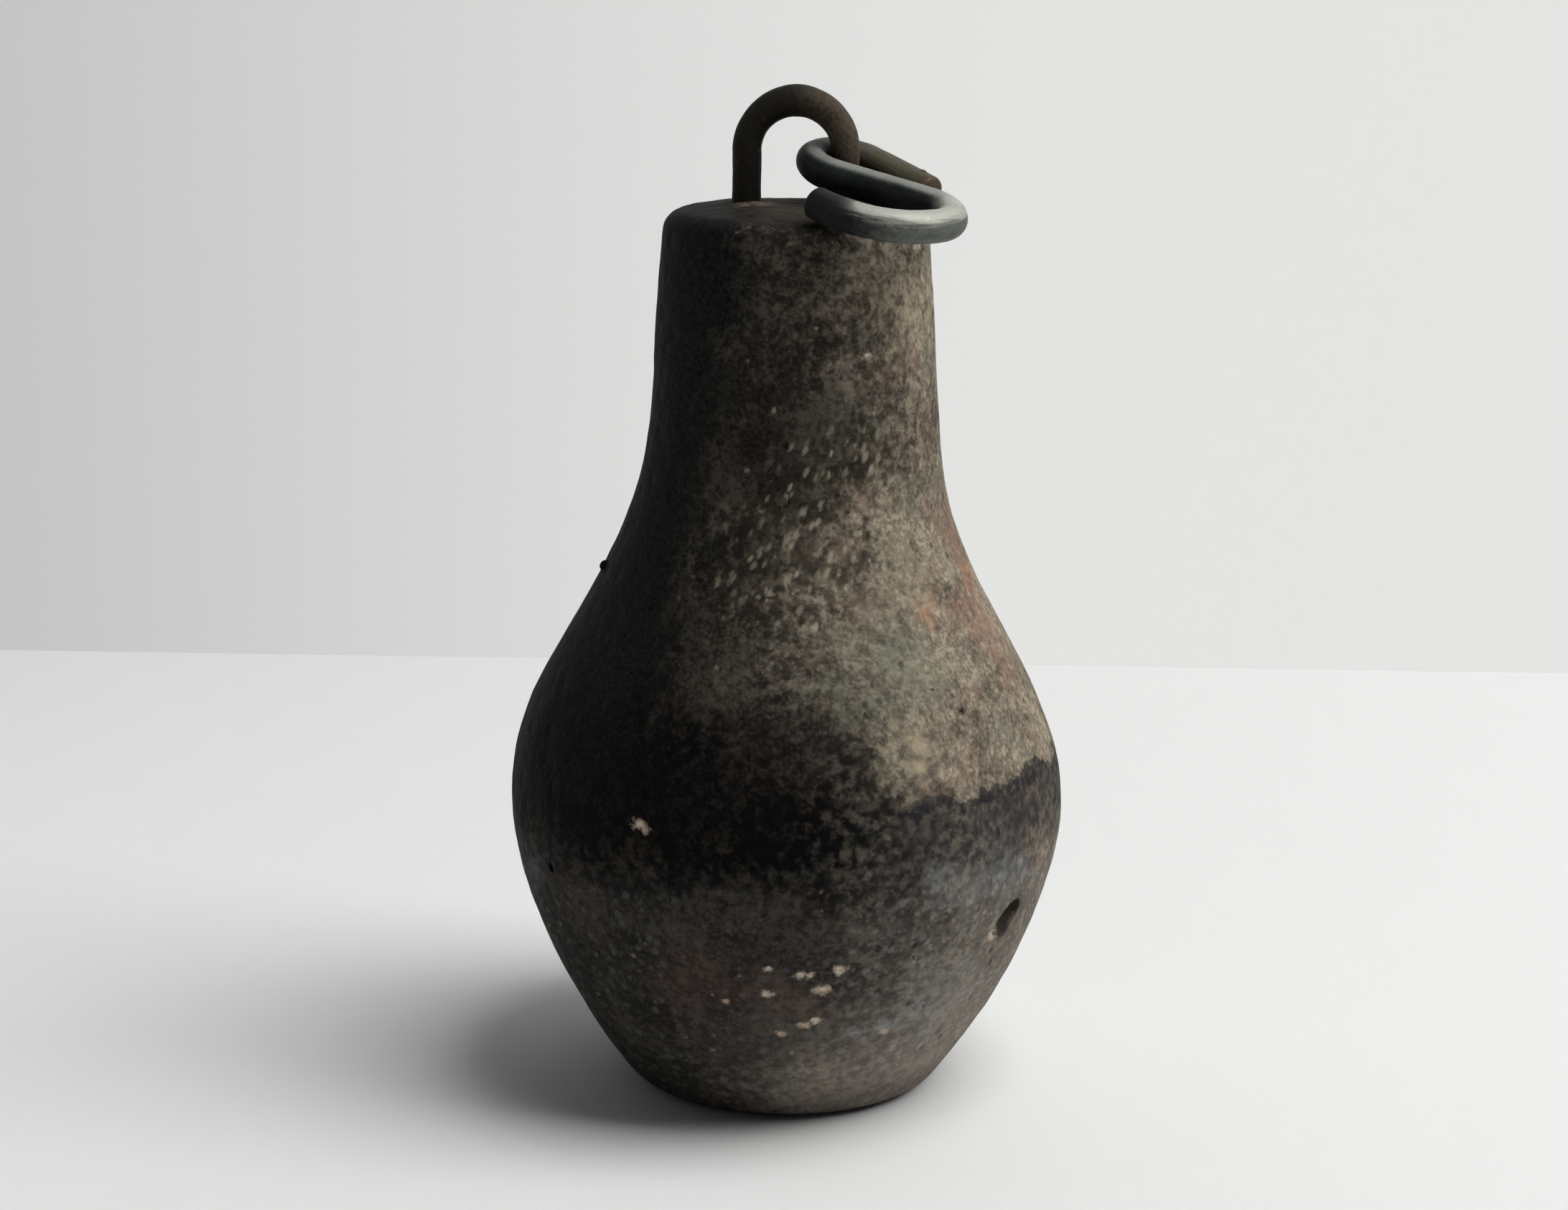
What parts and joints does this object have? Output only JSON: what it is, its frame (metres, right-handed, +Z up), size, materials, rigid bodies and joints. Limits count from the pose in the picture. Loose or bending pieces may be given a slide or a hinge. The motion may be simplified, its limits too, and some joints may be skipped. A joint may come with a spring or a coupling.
{
  "type": "plumb bob",
  "caption": "Pear-shaped cast iron plumb bob with a flat foot, a cast-in wire eye and a loose S-hook for the line.",
  "frame": {"origin": "middle of the flat foot, on the surface the bob stands on", "axes": "+Z up along the body's axis, +X from the eye's left leg to its right leg, -Y towards the side the hook lies over"},
  "size_m": [0.07, 0.07, 0.1262],
  "materials": {
    "iron": "old sand-cast skin, brown and grey",
    "rusty_wire": "dark brown rust",
    "zinc_wire": "weathered galvanising"
  },
  "bodies": {
    "bob": {"casting": "iron", "eye_staple": "rusty_wire"},
    "hook": {"s_hook": "zinc_wire"}
  },
  "joints": [
    {"name": "hook_travel", "type": "hinge", "parent": "bob", "child": "hook", "pos_m": [0, 0, 0.1176], "axis": [0, -1, 0], "range_deg": [0, 205]}
  ]
}
